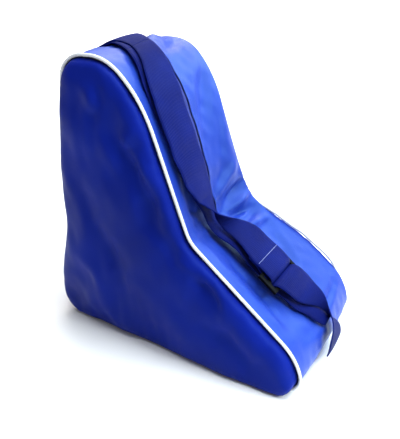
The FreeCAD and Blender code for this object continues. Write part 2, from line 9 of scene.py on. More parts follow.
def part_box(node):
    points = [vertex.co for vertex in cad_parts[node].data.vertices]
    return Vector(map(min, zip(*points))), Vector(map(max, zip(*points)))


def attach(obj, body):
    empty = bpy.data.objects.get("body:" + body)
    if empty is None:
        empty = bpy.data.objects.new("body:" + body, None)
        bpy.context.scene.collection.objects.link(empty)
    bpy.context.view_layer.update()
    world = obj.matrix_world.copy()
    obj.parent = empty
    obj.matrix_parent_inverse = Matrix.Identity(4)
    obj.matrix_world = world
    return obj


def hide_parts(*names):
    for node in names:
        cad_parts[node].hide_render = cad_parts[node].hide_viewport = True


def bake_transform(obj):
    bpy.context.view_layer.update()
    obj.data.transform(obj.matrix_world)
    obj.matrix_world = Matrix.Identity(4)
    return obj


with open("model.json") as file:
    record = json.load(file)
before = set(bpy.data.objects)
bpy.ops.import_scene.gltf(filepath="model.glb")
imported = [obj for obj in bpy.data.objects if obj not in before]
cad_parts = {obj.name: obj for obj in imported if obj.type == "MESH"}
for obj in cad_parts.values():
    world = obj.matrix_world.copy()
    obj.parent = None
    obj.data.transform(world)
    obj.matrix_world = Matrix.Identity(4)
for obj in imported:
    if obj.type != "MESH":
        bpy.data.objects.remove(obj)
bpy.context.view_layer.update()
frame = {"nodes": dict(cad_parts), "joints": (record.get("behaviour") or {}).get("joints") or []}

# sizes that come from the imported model
pipeLow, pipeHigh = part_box("left_piping")
bagLength = pipeHigh.x - pipeLow.x
bagHeight = pipeHigh.z - pipeLow.z
halfWidth = -(pipeLow.y + pipeHigh.y) / 2
joints = {joint["name"]: joint for joint in frame["joints"]}
strapBend = joints["strap_swing"]["pos_m"]
rng = np.random.RandomState(11)

# the side outline: radii in metres, tilts in degrees from level
bagShape = {
    "heel": 0.034, "sole": 0.022, "toe": 0.075, "ankle": 0.045, "brow": 0.165,
    "frontTop": 0.063, "backTop": 0.035,
    "backLean": 7, "shinTilt": 69.4, "browTilt": 43, "instepTilt": 38.5, "toeRise": 105,
    "topLength": 0.012,
    "step": 0.0015,            # spacing of the sampled outline
    "backDent": 0.010,         # how far the back seam pulls in over the heel
    # the right seam's shift outwards at some stations; a hand-sewn bag is never even
    "rightSeam": [
        (0, 0.0), (1.0, 0.004), (2.0, 0.012), (3.1, 0.020), (3.4, 0.017), (3.62, 0.004), (3.85, -0.008),
        (4.6, -0.012), (5.3, -0.018), (6.0, -0.014), (7.0, -0.004), (8.0, 0.0), (12.0, 0.0),
    ],
}
base, sole, toe, instep, ankle, shin, brow, frontTop, top, backTop, back, heel = range(12)


def heading(degrees):
    return np.array([math.cos(math.radians(degrees)), math.sin(math.radians(degrees))])


def outward(degrees):
    # from an arc's centre to the point where the outline heads this way
    return np.array([math.sin(math.radians(degrees)), -math.cos(math.radians(degrees))])


def cross(a, b):
    return a[0] * b[1] - a[1] * b[0]


def outlineStretches():
    shape = bagShape
    half = bagLength / 2
    shinWay, browWay, instepWay = (180 - shape[name] for name in ("shinTilt", "browTilt", "instepTilt"))
    backWay, toeWay = 270 - shape["backLean"], shape["toeRise"]
    heelCentre = np.array([shape["heel"] - half, shape["heel"]])
    backEnd = heelCentre + outward(backWay) * shape["heel"]
    backStartZ = bagHeight - shape["backTop"] + outward(backWay)[1] * shape["backTop"]
    backStart = backEnd - heading(backWay) * ((backStartZ - backEnd[1]) / -heading(backWay)[1])
    backTopCentre = backStart - outward(backWay) * shape["backTop"]
    frontTopCentre = np.array([backTopCentre[0] + shape["topLength"], bagHeight - shape["frontTop"]])
    browCentre = frontTopCentre + outward(browWay) * (shape["frontTop"] - shape["brow"])
    shinEnd = browCentre + outward(shinWay) * shape["brow"]
    soleCentre = np.array([half - shape["sole"], shape["sole"]])
    toeCentre = soleCentre + outward(toeWay) * (shape["sole"] - shape["toe"])
    instepStart = toeCentre + outward(instepWay) * shape["toe"]
    ankleStep = (outward(instepWay) - outward(shinWay)) * shape["ankle"]
    instepLength = cross(shinEnd - instepStart - ankleStep, heading(shinWay)) / cross(heading(instepWay),
                                                                                    heading(shinWay))
    instepEnd = instepStart + heading(instepWay) * instepLength
    ankleCentre = instepEnd + outward(instepWay) * shape["ankle"]
    shinStart = ankleCentre - outward(shinWay) * shape["ankle"]
    up = np.array([0, 1])
    return [
        ("line", np.array([heelCentre[0], 0]), np.array([soleCentre[0], 0])),
        ("arc", soleCentre, shape["sole"], 0, toeWay),
        ("arc", toeCentre, shape["toe"], toeWay, instepWay),
        ("line", instepStart, instepEnd),
        ("hollow", ankleCentre, shape["ankle"], instepWay, shinWay),
        ("line", shinStart, shinEnd),
        ("arc", browCentre, shape["brow"], shinWay, browWay),
        ("arc", frontTopCentre, shape["frontTop"], browWay, 180),
        ("line", frontTopCentre + up * shape["frontTop"], backTopCentre + up * shape["backTop"]),
        ("arc", backTopCentre, shape["backTop"], 180, backWay),
        ("line", backStart, backEnd),
        ("arc", heelCentre, shape["heel"], backWay, 360),
    ]


def sampleOutline():
    # points, outward normals and stations; the station is the stretch's number plus the part along it
    points, normals, stations = [], [], []
    for number, piece in enumerate(outlineStretches()):
        if piece[0] == "line":
            length = np.linalg.norm(piece[2] - piece[1])
        else:
            length = piece[2] * abs(math.radians(piece[4] - piece[3]))
        count = max(3, int(round(length / bagShape["step"])))
        for k in range(count):
            part = k / count
            if piece[0] == "line":
                way = (piece[2] - piece[1]) / length
                points.append(piece[1] + (piece[2] - piece[1]) * part)
                normals.append(np.array([way[1], -way[0]]))
            else:
                turned = outward(piece[3] + (piece[4] - piece[3]) * part)
                points.append(piece[1] + turned * (piece[2] if piece[0] == "arc" else -piece[2]))
                normals.append(turned)
            stations.append(number + part)
    points.append(points[0])
    normals.append(normals[0])
    stations.append(12.0)
    return np.array(points), np.array(normals), np.array(stations)


outlinePoints, outlineNormals, outlineStations = sampleOutline()
outlineRun = np.concatenate([[0], np.cumsum(np.linalg.norm(np.diff(outlinePoints, axis=0), axis=1))])
outlineLength = outlineRun[-1]


def runAt(station):
    # length along the outline, from the base at the heel, of a station
    return float(np.interp(station, outlineStations, outlineRun))


def bump(value, centre, spread):
    return np.exp(-((value - centre) / spread) ** 2)


def step(value, low, high):
    t = np.clip((value - low) / (high - low), 0, 1)
    return t * t * (3 - 2 * t)


def backDent(run):
    return bagShape["backDent"] * bump(run, runAt(back + 0.63), 0.05)


def seamY(run, sideSign):
    # the side seams' place across the bag; the right one leans in along the shin and out at the toe
    run = np.asarray(run, float)
    if sideSign < 0:
        return np.full(run.shape, -halfWidth)
    stations = [runAt(place) for place, shift in bagShape["rightSeam"]]
    shifts = [shift for place, shift in bagShape["rightSeam"]]
    fine = np.linspace(0, outlineLength, 400)
    return halfWidth + np.interp(run, fine, smoothed(np.interp(fine, stations, shifts), 40))


def smoothed(values, passes):
    values = np.array(values, float)
    for _ in range(passes):
        values[1:-1] = values[1:-1] * 0.5 + (values[:-2] + values[2:]) * 0.25
    return values


def onOutline(run, lift=0.0):
    # x and z at a length along the outline, moved outwards by lift
    run = np.mod(np.asarray(run, float), outlineLength)
    lift = lift - backDent(run)
    nx = np.interp(run, outlineRun, outlineNormals[:, 0])
    nz = np.interp(run, outlineRun, outlineNormals[:, 1])
    x = np.interp(run, outlineRun, outlinePoints[:, 0]) + nx * lift
    z = np.interp(run, outlineRun, outlinePoints[:, 1]) + nz * lift
    return x, z


def onBag(run, y, lift):
    x, z = onOutline(run, lift)
    x, y, z = np.broadcast_arrays(x, y, z)
    return np.stack([x, y, z], axis=-1)


print("outline", round(outlineLength, 3), "m round")


# materials
def newMaterial(name, roughness, metallic=0.0):
    material = bpy.data.materials.new(name)
    material.use_nodes = True
    shader = material.node_tree.nodes["Principled BSDF"]
    shader.inputs["Roughness"].default_value = roughness
    shader.inputs["Metallic"].default_value = metallic
    return material, material.node_tree, shader


def noiseNode(tree, source, scale, detail=3.0, roughness=0.5):
    noise = tree.nodes.new("ShaderNodeTexNoise")
    noise.inputs["Scale"].default_value = scale
    noise.inputs["Detail"].default_value = detail
    noise.inputs["Roughness"].default_value = roughness
    tree.links.new(source, noise.inputs["Vector"])
    return noise.outputs["Fac"]


def bands(tree, source, pitch, direction):
    wave = tree.nodes.new("ShaderNodeTexWave")
    wave.bands_direction = direction
    wave.inputs["Scale"].default_value = 0.314 / pitch       # one band each pitch
    tree.links.new(source, wave.inputs["Vector"])
    return wave.outputs["Fac"]


def mathNode(tree, operation, first, second):
    node = tree.nodes.new("ShaderNodeMath")
    node.operation = operation
    for socket, value in zip(node.inputs, (first, second)):
        if isinstance(value, (int, float)):
            socket.default_value = value
        else:
            tree.links.new(value, socket)
    return node.outputs[0]


def rampNode(tree, source, stops):
    ramp = tree.nodes.new("ShaderNodeValToRGB")
    while len(ramp.color_ramp.elements) < len(stops):
        ramp.color_ramp.elements.new(0.5)
    for element, (place, colour) in zip(ramp.color_ramp.elements, stops):
        element.position = place
        element.color = (*colour, 1)
    tree.links.new(source, ramp.inputs["Fac"])
    return ramp.outputs["Color"]


def colourFrom(tree, shader, first, firstShare, second, secondShare, stops):
    # the base colour goes through the stops by the weighted sum of two patterns
    tone = mathNode(tree, "ADD", mathNode(tree, "MULTIPLY", first, firstShare),
                    mathNode(tree, "MULTIPLY", second, secondShare))
    tree.links.new(rampNode(tree, tone, stops), shader.inputs["Base Color"])


def roughnessFrom(tree, source, low, high, shader):
    spread = tree.nodes.new("ShaderNodeMapRange")
    spread.inputs["To Min"].default_value = low
    spread.inputs["To Max"].default_value = high
    tree.links.new(source, spread.inputs["Value"])
    tree.links.new(spread.outputs["Result"], shader.inputs["Roughness"])


def bumpChain(tree, shader, layers):
    # each layer is a height, its distance in metres and its strength
    normal = None
    for height, distance, strength in layers:
        node = tree.nodes.new("ShaderNodeBump")
        node.inputs["Distance"].default_value = distance
        node.inputs["Strength"].default_value = strength
        tree.links.new(height, node.inputs["Height"])
        if normal is not None:
            tree.links.new(normal, node.inputs["Normal"])
        normal = node.outputs["Normal"]
    tree.links.new(normal, shader.inputs["Normal"])


sideLook = {
    "deep": (0.003, 0.008, 0.15), "middle": (0.004, 0.013, 0.225), "faded": (0.007, 0.023, 0.31),
    "threadPitch": 0.0009, "roughLow": 0.36, "roughHigh": 0.50, "sheen": 0.02, "shine": 0.07,
}
# the band is the same nylon as the sides, painted in lighter colours: painted light for the light the band
# catches; it also has more shine
bandLitLook = {
    "deep": (0.007, 0.022, 0.24), "middle": (0.011, 0.038, 0.34), "faded": (0.020, 0.066, 0.45),
    "threadPitch": 0.0009, "roughLow": 0.32, "roughHigh": 0.48, "sheen": 0.06, "shine": 0.36,
}


def makeNylon(name, look):
    # coated pack cloth: a fine plain weave under a thin gloss, with faint crumpling and faded patches
    material, tree, shader = newMaterial(name, 0.4)
    coords = tree.nodes.new("ShaderNodeTexCoord").outputs
    warp = bands(tree, coords["UV"], look["threadPitch"], "X")
    weft = bands(tree, coords["UV"], look["threadPitch"], "Y")
    weave = mathNode(tree, "MULTIPLY", warp, weft)
    crumple = noiseNode(tree, coords["Object"], 38, 5, 0.55)
    patches = noiseNode(tree, coords["Object"], 7, 3)
    stops = [(0.2, look["deep"]), (0.5, look["middle"]), (0.85, look["faded"])]
    colourFrom(tree, shader, patches, 0.8, weave, 0.16, stops)
    roughnessFrom(tree, crumple, look["roughLow"], look["roughHigh"], shader)
    shader.inputs["Sheen Weight"].default_value = look["sheen"]
    shader.inputs["Sheen Roughness"].default_value = 0.4
    shader.inputs["Sheen Tint"].default_value = (0.3, 0.5, 1.0, 1)
    shader.inputs["Specular IOR Level"].default_value = look["shine"]
    shader.inputs["Specular Tint"].default_value = (0.40, 0.75, 1.0, 1)
    bumpChain(tree, shader, [(crumple, 0.0016, 0.35), (weave, 0.00012, 0.6)])
    return material


webbingLook = {
    "deep": (0.002, 0.004, 0.06), "middle": (0.003, 0.008, 0.115), "worn": (0.008, 0.020, 0.22),
    "ribPitch": 0.0026, "pickPitch": 0.0013,
}


def makeWebbing(name, look):
    # ribs run along the strap, picks across it
    material, tree, shader = newMaterial(name, 0.5)
    coords = tree.nodes.new("ShaderNodeTexCoord").outputs
    ribs = bands(tree, coords["UV"], look["ribPitch"], "Y")
    picks = bands(tree, coords["UV"], look["pickPitch"], "X")
    fuzz = noiseNode(tree, coords["Object"], 900, 2)
    patches = noiseNode(tree, coords["Object"], 22, 3)
    weave = mathNode(tree, "MULTIPLY", ribs, picks)
    stops = [(0.15, look["deep"]), (0.5, look["middle"]), (0.95, look["worn"])]
    colourFrom(tree, shader, weave, 0.45, patches, 0.6, stops)
    roughnessFrom(tree, fuzz, 0.38, 0.62, shader)
    shader.inputs["Specular IOR Level"].default_value = 0.04
    bumpChain(tree, shader, [(ribs, 0.0006, 0.8), (picks, 0.0002, 0.4), (fuzz, 0.0001, 0.3)])
    return material


def makeMoulded(name, colours, roughLow, roughHigh, grain, coat=0.0, metallic=0.0, shine=0.5):
    # moulded plastic, vinyl or enamel: small grain, faint scuffs, uneven gloss
    material, tree, shader = newMaterial(name, roughLow, metallic)
    coords = tree.nodes.new("ShaderNodeTexCoord").outputs
    fine = noiseNode(tree, coords["Object"], grain, 4)
    broad = noiseNode(tree, coords["Object"], grain / 40, 4, 0.6)
    stops = [(0.25, colours[0]), (0.55, colours[1]), (0.8, colours[2])]
    colourFrom(tree, shader, fine, 0.35, broad, 0.65, stops)
    roughnessFrom(tree, broad, roughLow, roughHigh, shader)
    shader.inputs["Coat Weight"].default_value = coat
    shader.inputs["Specular IOR Level"].default_value = shine
    bumpChain(tree, shader, [(broad, 0.0004, 0.2), (fine, 0.00006, 0.5)])
    return material


def makeTape(name, colours, pitch):
    # woven tape: a herringbone of fine slanting ribs
    material, tree, shader = newMaterial(name, 0.65)
    coords = tree.nodes.new("ShaderNodeTexCoord").outputs
    across = bands(tree, coords["UV"], pitch * 5, "Y")
    slant = bands(tree, coords["UV"], pitch, "DIAGONAL")
    patches = noiseNode(tree, coords["Object"], 60, 3)
    weave = mathNode(tree, "MULTIPLY", across, slant)
    stops = [(0.2, colours[0]), (0.75, colours[1])]
    colourFrom(tree, shader, weave, 0.4, patches, 0.6, stops)
    roughnessFrom(tree, patches, 0.55, 0.8, shader)
    shader.inputs["Sheen Weight"].default_value = 0.2
    bumpChain(tree, shader, [(weave, 0.0002, 0.6)])
    return material


sideNylon = makeNylon("side_nylon", sideLook)
# the band's nylon is a lighter copy of the side nylon, its extra brightness painted light
bandNylonLit = makeNylon("band_nylon_painted_light", bandLitLook)
lining = makeTape("nylon_backing", [(0.010, 0.020, 0.12), (0.03, 0.05, 0.22)], 0.0008)
webbing = makeWebbing("strap_webbing", webbingLook)
vinyl = makeMoulded("white_piping", [(0.62, 0.63, 0.66), (0.80, 0.80, 0.80), (0.86, 0.86, 0.85)],
                    0.28, 0.42, 700, 0.3)
tapeCloth = makeTape("zip_tape_weave", [(0.006, 0.014, 0.16), (0.012, 0.03, 0.30)], 0.0006)
coilNylon = makeMoulded("zip_coil_nylon", [(0.006, 0.014, 0.14), (0.012, 0.03, 0.28), (0.03, 0.06, 0.4)],
                        0.3, 0.45, 1500)
bindingCloth = makeTape("binding_weave", [(0.01, 0.012, 0.03), (0.03, 0.034, 0.07)], 0.0009)
thread = makeMoulded("blue_thread", [(0.02, 0.05, 0.40), (0.04, 0.09, 0.55), (0.10, 0.16, 0.7)],
                     0.45, 0.6, 2500)
paleThread = makeMoulded("pale_thread", [(0.20, 0.24, 0.55), (0.32, 0.37, 0.70), (0.45, 0.5, 0.8)],
                         0.5, 0.65, 2500)
moulding = [(0.001, 0.001, 0.001), (0.002, 0.002, 0.002), (0.006, 0.006, 0.006)]
glidePlastic = makeMoulded("black_moulding", moulding, 0.45, 0.6, 900, shine=0.05)
enamel = makeMoulded("black_enamel", [(0.008, 0.008, 0.009), (0.02, 0.02, 0.021), (0.06, 0.06, 0.062)],
                     0.2, 0.4, 800, 0.5, 0.3)
sheet = [(0.012, 0.012, 0.014), (0.025, 0.025, 0.028), (0.05, 0.05, 0.055)]
boardSheet = makeMoulded("stiffener_sheet", sheet, 0.5, 0.75, 500)
floorPaper = makeMoulded("floor_paper", [(0.90, 0.87, 0.84), (0.93, 0.90, 0.87), (0.95, 0.92, 0.89)],
                         0.8, 0.9, 20, shine=0.1)
print("materials ready")


# mesh helpers
def makePiece(name, points, faces, material, uvs=None, smooth=True):
    mesh = bpy.data.meshes.new(name)
    mesh.from_pydata([tuple(map(float, point)) for point in points], [], faces)
    mesh.validate()
    mesh.update()
    if smooth:
        mesh.polygons.foreach_set("use_smooth", [True] * len(mesh.polygons))
    if uvs is not None:
        layer = mesh.uv_layers.new(name="metres")
        vertexOf = np.zeros(len(mesh.loops), int)
        mesh.loops.foreach_get("vertex_index", vertexOf)
        layer.data.foreach_set("uv", np.asarray(uvs, float)[vertexOf].ravel())
    for item in (material if isinstance(material, list) else [material]):
        mesh.materials.append(item)
    piece = bpy.data.objects.new(name, mesh)
    bpy.context.scene.collection.objects.link(piece)
    return piece


def gridFaces(rows, columns, closed=False, flip=False):
    faces = []
    for i in range(rows - 1):
        for j in range(columns if closed else columns - 1):
            k = (j + 1) % columns
            face = (i * columns + j, i * columns + k, (i + 1) * columns + k, (i + 1) * columns + j)
            faces.append(face[::-1] if flip else face)
    return faces


def thicken(piece, thickness, offset=-1.0, innerSlot=0, rim=True):
    solid = piece.modifiers.new("thickness", "SOLIDIFY")
    solid.thickness = thickness
    solid.offset = offset
    solid.use_rim = rim
    solid.material_offset = innerSlot
    return piece


def softNoise(count, scaleLow, scaleHigh, dimensions=2):
    # a sum of slanting waves with seeded directions; returns a function of coordinates in metres
    waves = []
    for _ in range(count):
        way = rng.normal(size=dimensions)
        way /= np.linalg.norm(way)
        waves.append((way * 2 * math.pi / rng.uniform(scaleLow, scaleHigh), rng.uniform(0, 2 * math.pi)))

    def value(*coords):
        total = 0
        for way, phase in waves:
            total = total + np.sin(sum(c * w for c, w in zip(coords, way)) + phase)
        return total / math.sqrt(count)

    return value


# the gusset: the band between the two side seams
gussetShape = {
    "thickness": 0.0012, "edgeGap": 0.0014,   # short of the piping's middle
    "puff": 0.0028,                           # a stuffed band stands a little proud
    "ankleSag": 0.012,                        # how far it sinks where it bends over the ankle
    "instepSag": 0.005,
    "nearRoll": 0.0030,                       # a soft roll beside the left seam
    "ripple": 0.0006,
    "rowStep": 0.0028, "columns": 26, "fullColumns": 52, "deepest": -0.006,
    # creases: station, across as part of the half width, slant in degrees, half length, half width, height
    "creases": [
        (ankle + 0.5, 0.55, 8, 0.032, 0.0050, 0.0105), (ankle + 0.1, 0.50, -14, 0.028, 0.0045, -0.0090),
        (shin + 0.06, 0.66, 20, 0.026, 0.0050, -0.0095), (instep + 0.93, 0.70, 6, 0.024, 0.0050, -0.0065),
        (instep + 0.84, 0.55, -10, 0.030, 0.0060, 0.0065), (shin + 0.2, 0.45, 32, 0.040, 0.0080, 0.0060),
        (ankle + 0.5, -0.60, -10, 0.022, 0.0050, 0.0040), (shin + 0.10, -0.55, -24, 0.024, 0.0060, -0.0035),
        (brow + 0.4, 0.55, 65, 0.060, 0.0130, -0.0060), (brow + 0.9, 0.75, 50, 0.040, 0.0100, 0.0050),
        (frontTop + 0.6, 0.65, 20, 0.035, 0.0080, -0.0060), (top + 0.5, 0.50, 30, 0.030, 0.0090, 0.0060),
        (backTop + 0.3, 0.15, 5, 0.040, 0.0080, -0.0050), (backTop + 0.5, -0.60, -20, 0.030, 0.0090, 0.0040),
        (shin + 0.6, 0.70, 78, 0.060, 0.0120, 0.0050), (instep + 0.5, 0.60, 80, 0.050, 0.0100, -0.0040),
        (instep + 0.45, -0.62, 84, 0.055, 0.0070, -0.0035), (instep + 0.2, 0.40, 40, 0.030, 0.0080, 0.0030),
        (toe + 0.6, 0.50, 10, 0.035, 0.0060, -0.0045), (toe + 0.3, -0.30, -8, 0.040, 0.0080, 0.0030),
        (back + 0.35, 0.3, 15, 0.040, 0.0100, 0.0035), (back + 0.62, -0.3, -12, 0.045, 0.0080, -0.0045),
        (back + 0.75, 0.4, 8, 0.045, 0.0100, 0.0040), (heel + 0.4, -0.2, 5, 0.050, 0.0080, 0.0025),
    ],
}
gussetRipple = softNoise(9, 0.018, 0.05)


def gussetLift(run, y):
    # how far the band's cloth stands off the outline, at a length along it and a place across it
    shape = gussetShape
    run, y = np.broadcast_arrays(np.asarray(run, float), np.asarray(y, float))
    across = np.where(y < 0, -y / seamY(run, -1), y / seamY(run, 1))
    front = step(run, runAt(toe), runAt(instep + 0.2)) * (1 - step(run, runAt(brow), runAt(frontTop + 0.5)))
    lift = shape["puff"] * (1 - across ** 2) * (1 - front)
    lift = lift + 0.9 * backDent(run) * (1 - np.abs(across) ** 5)
    lift = lift - shape["ankleSag"] * bump(run, runAt(ankle + 0.5), 0.055) * (1 - across ** 2)
    lift = lift - shape["instepSag"] * front * (1 - across ** 2)
    lift = lift + shape["nearRoll"] * bump(y, -0.80 * halfWidth, 0.012) * front
    for station, place, slant, halfLong, halfWide, height in shape["creases"]:
        along, sideways = run - runAt(station), y - place * halfWidth
        turn = math.radians(slant)
        long = sideways * math.cos(turn) + along * math.sin(turn)
        wide = -sideways * math.sin(turn) + along * math.cos(turn)
        lift = lift + height * np.exp(-(long / halfLong) ** 2 - (wide / halfWide) ** 2)
    lift = lift + shape["ripple"] * gussetRipple(run, y)
    floorRun = step(run, -0.01, 0.03) * (1 - step(run, runAt(sole) - 0.02, runAt(sole) + 0.01))
    onFloor = np.where(run < runAt(sole) + 0.01, floorRun, 0)
    lift = lift * (1 - onFloor)
    return lift * (1 - np.abs(across) ** 6)


mouthLow, mouthHigh = instep + 0.03, frontTop + 0.5
zipSlot = 0.012
zipLowRun = runAt(mouthLow) - 0.026
zipHighRun = runAt(back) + 0.062
mouthTaper = 0.060

mouthTop = np.array(onOutline(runAt(mouthHigh)))
mouthToe = np.array(onOutline(runAt(mouthLow)))
mouthWay = (mouthToe - mouthTop) / np.linalg.norm(mouthToe - mouthTop)


def chordPlace(run):
    return (np.stack(onOutline(run), axis=-1) - mouthTop) @ mouthWay


frontRuns = np.linspace(runAt(mouthLow), runAt(mouthHigh), 600)
frontChord = chordPlace(frontRuns)
mouthLength = float(np.linalg.norm(mouthToe - mouthTop))
taperLowRun = float(frontRuns[np.argmin(np.abs(frontChord - (mouthLength - mouthTaper)))])
taperHighRun = float(frontRuns[np.argmin(np.abs(frontChord - mouthTaper))])
zones = {                    # lengths along the outline; the mouth's pointed ends have their own pieces
    "toe": (zipLowRun, taperLowRun), "middle": (taperLowRun, taperHighRun),
    "top": (taperHighRun, runAt(top + 0.9)), "back": (runAt(top + 0.9), zipHighRun),
}


def followFlap(piece, sideName, zone):
    # pieces of the back zone go with the shell; the others have their placement baked into their points
    if zone == "back":
        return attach(piece, "shell")
    sideSign = -1 if sideName == "left" else 1
    # the seam's least reach across the front zones
    seamIn = float(np.min(np.abs(seamY(np.linspace(zones["toe"][0], zones["top"][1], 80), sideSign))))
    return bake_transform(piece)


def bandPiece(name, runs, edges, material, liftOf, thickness, offset=-1.0, columns=None, innerSlot=1,
              rim=False):
    # a strip of cloth along the outline between two places across
    columns = columns or gussetShape["columns"]
    part = np.linspace(0, 1, columns)
    rows = len(runs)
    low, high = (np.broadcast_to(edge, (rows,)) for edge in edges)
    y = low[:, None] * (1 - part) + high[:, None] * part
    run = np.broadcast_to(np.asarray(runs)[:, None], y.shape)
    points = onBag(run, y, liftOf(run, y)).reshape(-1, 3)
    points[:, 2] = np.maximum(points[:, 2], 0.0004)
    uvs = np.stack([run.ravel(), y.ravel()], axis=-1)
    piece = makePiece(name, points, gridFaces(rows, columns), material, uvs)
    return thicken(piece, thickness, offset, innerSlot, rim)


def spaced(first, last, spacing):
    return np.linspace(first, last, max(3, int(round((last - first) / spacing)) + 1))


def slotLip(run, y):
    # the cloth's folded edge along the zip stands up a little
    return gussetLift(run, y) + 0.0010 * bump(np.abs(y), zipSlot / 2 + 0.0012, 0.0016)


def makeGusset():
    around = spaced(zipHighRun, outlineLength + zipLowRun, gussetShape["rowStep"])
    wrapped = np.mod(around, outlineLength)
    edges = (np.array([seamY(r, -1) for r in wrapped]) + gussetShape["edgeGap"],
             np.array([seamY(r, 1) for r in wrapped]) - gussetShape["edgeGap"])

    def aroundLift(run, y):
        return np.maximum(gussetLift(np.mod(run, outlineLength), y), gussetShape["deepest"])

    full = bandPiece("gusset_back_and_base", around, edges, [bandNylonLit, lining], aroundLift,
                     gussetShape["thickness"], columns=gussetShape["fullColumns"])
    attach(full, "shell")
    for sideName, sideSign in (("left", -1), ("right", 1)):
        for zone, (first, last) in zones.items():
            runs = spaced(first, last, gussetShape["rowStep"])
            outer = np.array([seamY(r, sideSign) for r in runs]) - sideSign * gussetShape["edgeGap"]
            inner = np.full(len(runs), sideSign * zipSlot / 2)
            sides = (outer, inner) if sideSign < 0 else (inner, outer)
            piece = bandPiece("gusset_%s_%s" % (sideName, zone), runs, sides, [bandNylonLit, lining], slotLip,
                              gussetShape["thickness"])
            followFlap(piece, sideName, zone)
            if zone == "middle":
                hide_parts(sideName + "_front_flap")
    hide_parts("back_gusset", "toe_gusset", "base_panel")


makeGusset()
print("gusset ready")


# zip: tapes, interlocking teeth, stitch rows
zipShape = {
    "tapeWidth": 0.0145, "tapeThick": 0.0007, "tapeLift": -0.0021,
    "toothPitch": 0.0016, "toothLong": 0.0036, "toothWide": 0.0010, "toothTall": 0.0016,
    "toothLift": -0.0004,
    "stitchPitch": 0.0040, "stitchLong": 0.0028, "threadRadius": 0.00030,
}


def bead(centre, along, sideways, up, long, wide, tall, rings=4, sides=6):
    # a small capsule, long in one direction
    points, faces = [], []
    for i in range(rings + 1):
        turn = math.pi * i / rings
        reach, spread = -math.cos(turn) * long / 2, max(math.sin(turn), 0.25)
        for j in range(sides):
            angle = 2 * math.pi * j / sides
            points.append(centre + along * reach + sideways * (math.cos(angle) * wide / 2 * spread)
                          + up * (math.sin(angle) * tall / 2 * spread))
    faces = gridFaces(rings + 1, sides, closed=True)
    faces.append(tuple(range(sides))[::-1])
    faces.append(tuple(rings * sides + j for j in range(sides)))
    return points, faces


def joinBeads(name, beads, material):
    points, faces = [], []
    for beadPoints, beadFaces in beads:
        offset = len(points)
        points += beadPoints
        faces += [tuple(v + offset for v in face) for face in beadFaces]
    return makePiece(name, points, faces, material)


def frameOnBag(run, y, lift):
    # a point with its directions along, across and out of the band
    here = onBag(run, y, lift)
    ahead = onBag(run + 0.001, y, lift)
    along = (ahead - here) / np.linalg.norm(ahead - here)
    across = np.array([0.0, 1.0, 0.0])
    return here, along, across, np.cross(across, along) * -1


def makeZip():
    shape = zipShape
    for sideName, sideSign in (("left", -1), ("right", 1)):
        for zone, (first, last) in zones.items():
            runs = spaced(first, last, 0.003)
            near, far = sideSign * 0.0006, sideSign * shape["tapeWidth"]
            sides = (np.full(len(runs), min(near, far)), np.full(len(runs), max(near, far)))

            def tapeLift(run, y):
                return gussetLift(run, y) + shape["tapeLift"]

            tape = bandPiece("zip_tape_%s_%s" % (sideName, zone), runs, sides, tapeCloth, tapeLift,
                             shape["tapeThick"], 0.0, 6, 0)
            teeth = []
            phase = 0.5 if sideSign > 0 else 0.0
            count = int((last - first) / shape["toothPitch"])
            for k in range(count):
                run = first + (k + phase + 0.25) * shape["toothPitch"]
                y = sideSign * (shape["toothLong"] / 2 - 0.0007)
                here, along, across, out = frameOnBag(run, y, gussetLift(run, y) + shape["toothLift"])
                teeth.append(bead(here, across, along, out,
                                  shape["toothLong"], shape["toothWide"], shape["toothTall"]))
            coil = joinBeads("zip_teeth_%s_%s" % (sideName, zone), teeth, coilNylon)
            stitches = []
            for k in range(int((last - first) / shape["stitchPitch"])):
                run = first + (k + 0.5) * shape["stitchPitch"]
                y = sideSign * (zipSlot / 2 + 0.0034)
                here, along, across, out = frameOnBag(run, y, slotLip(run, y) + shape["threadRadius"] * 0.4)
                stitches.append(bead(here, along, across, out, shape["stitchLong"],
                                     shape["threadRadius"] * 2.4, shape["threadRadius"] * 2))
            seam = joinBeads("zip_stitches_%s_%s" % (sideName, zone), stitches, thread)
            for piece in (tape, coil, seam):
                followFlap(piece, sideName, zone)
            node = {"toe": "zip_toe", "middle": "zip", "back": "zip_back"}.get(zone)
            if node:
                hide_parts("%s_tape_%s" % (node, sideName))
                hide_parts("%s_coil_%s" % (node, sideName))


makeZip()
print("zip ready")


